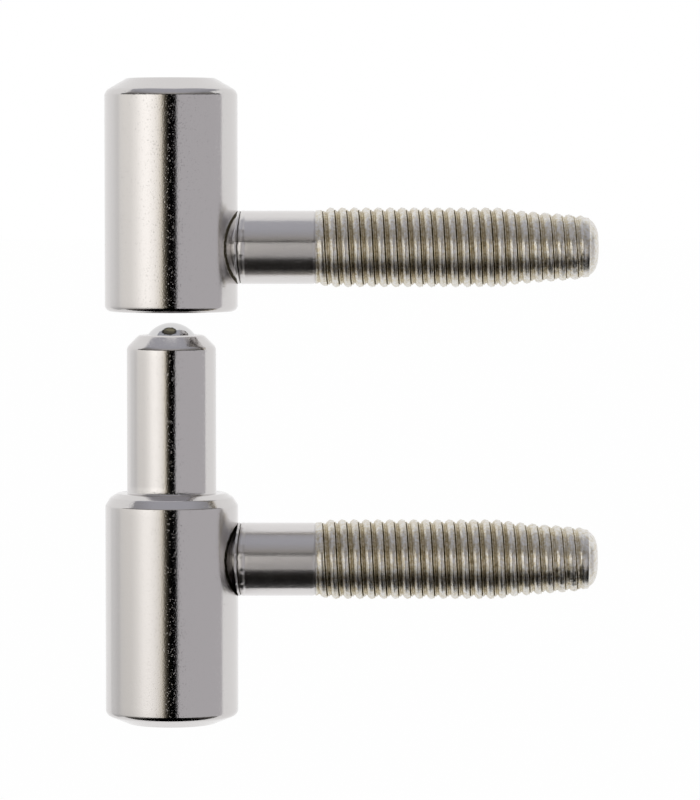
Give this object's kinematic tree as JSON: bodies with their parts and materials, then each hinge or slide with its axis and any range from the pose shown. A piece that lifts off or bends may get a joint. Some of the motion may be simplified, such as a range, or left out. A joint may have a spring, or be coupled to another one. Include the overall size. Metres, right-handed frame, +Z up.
{
  "type": "drill in hinge",
  "caption": "Lift-off drill-in hinge: a turned barrel with a blind bore drops over a turned pin tipped with a steel ball, and each barrel has a wood screw in its side.",
  "frame": {"origin": "on the hinge's axis, in the leaf barrel's flat lower face", "axes": "+Z up along the hinge's axis, +X along both screws, into the wood, +Y level and square to them"},
  "size_m": [0.0595, 0.016, 0.0777],
  "materials": {
    "plated_barrel": "polished, nickel-plated turned steel",
    "rolled_screw": "nickel-plated steel with a rolled thread, duller than the barrels",
    "polished_ball": "hardened and polished bearing steel"
  },
  "bodies": {
    "leaf_half": {"leaf_knuckle": "plated_barrel", "leaf_screw": "rolled_screw"},
    "ball": {"bearing_ball": "polished_ball"},
    "frame_half": {"frame_knuckle": "plated_barrel", "frame_screw": "rolled_screw"}
  },
  "joints": [
    {"name": "lift", "type": "slide", "parent": "leaf_half", "child": "ball", "axis": [0, 0, 1], "range_m": [0, 0.0213]},
    {"name": "turn", "type": "hinge", "parent": "ball", "child": "frame_half", "pos_m": [0, 0, -0.00485], "axis": [0, 0, 1], "continuous": true}
  ]
}
